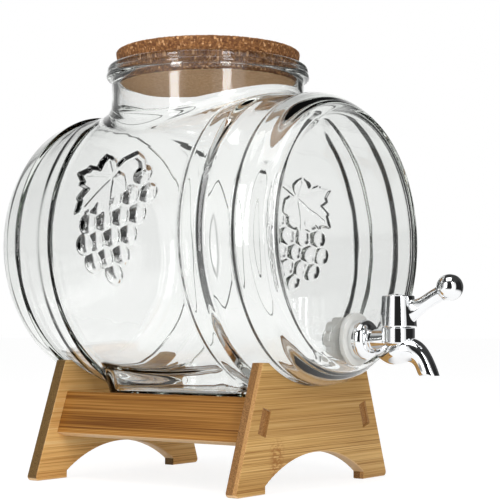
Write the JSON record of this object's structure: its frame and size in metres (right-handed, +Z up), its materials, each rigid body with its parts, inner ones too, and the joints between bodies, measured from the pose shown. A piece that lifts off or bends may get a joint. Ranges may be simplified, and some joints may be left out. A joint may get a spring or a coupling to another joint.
{
  "type": "drink dispenser",
  "caption": "Clear glass barrel dispenser lying on a bamboo cradle, with a cork stopper in its neck and a chromed quarter-turn lever tap in the front head.",
  "frame": {"origin": "middle of the whole object's footprint box, on the table", "axes": "+Z up, -Y the way the tap faces, X across the barrel"},
  "size_m": [0.192, 0.292, 0.2755],
  "materials": {
    "glass": "clear pressed glass",
    "cork": "granular pressed cork",
    "bamboo": "oiled laminated bamboo",
    "silicone": "milky translucent rubber",
    "white_plastic": "white moulded plastic",
    "chrome": "mirror chrome plating",
    "plug_plastic": "white moulded plastic",
    "o_ring": "black rubber",
    "steel": "plain steel"
  },
  "bodies": {
    "stand": {"stand_front_panel": "bamboo", "stand_rear_panel": "bamboo", "stand_left_rail": "bamboo", "stand_right_rail": "bamboo"},
    "barrel": {"glass_barrel": "glass", "outer_washer": "silicone", "inner_washer": "silicone", "tap_lock_nut": "white_plastic", "tap_escutcheon": "chrome", "tap_body": "chrome", "plug_retainer": "white_plastic"},
    "stopper": {"cork_stopper": "cork"},
    "lever": {"tap_lever": "chrome", "valve_plug": "plug_plastic", "plug_o_ring_lower": "o_ring", "plug_o_ring_upper": "o_ring", "lever_screw": "steel", "lever_button": "chrome"}
  },
  "joints": [
    {"name": "barrel_lift", "type": "slide", "parent": "stand", "child": "barrel", "axis": [0, 0, 1], "range_m": [0, 0.05]},
    {"name": "stopper_lift", "type": "slide", "parent": "barrel", "child": "stopper", "axis": [0, 0, 1], "range_m": [0, 0.06]},
    {"name": "lever_turn", "type": "hinge", "parent": "barrel", "child": "lever", "pos_m": [0, -0.10403, 0.08896], "axis": [0, 0, 1], "range_deg": [-90, 90]}
  ]
}
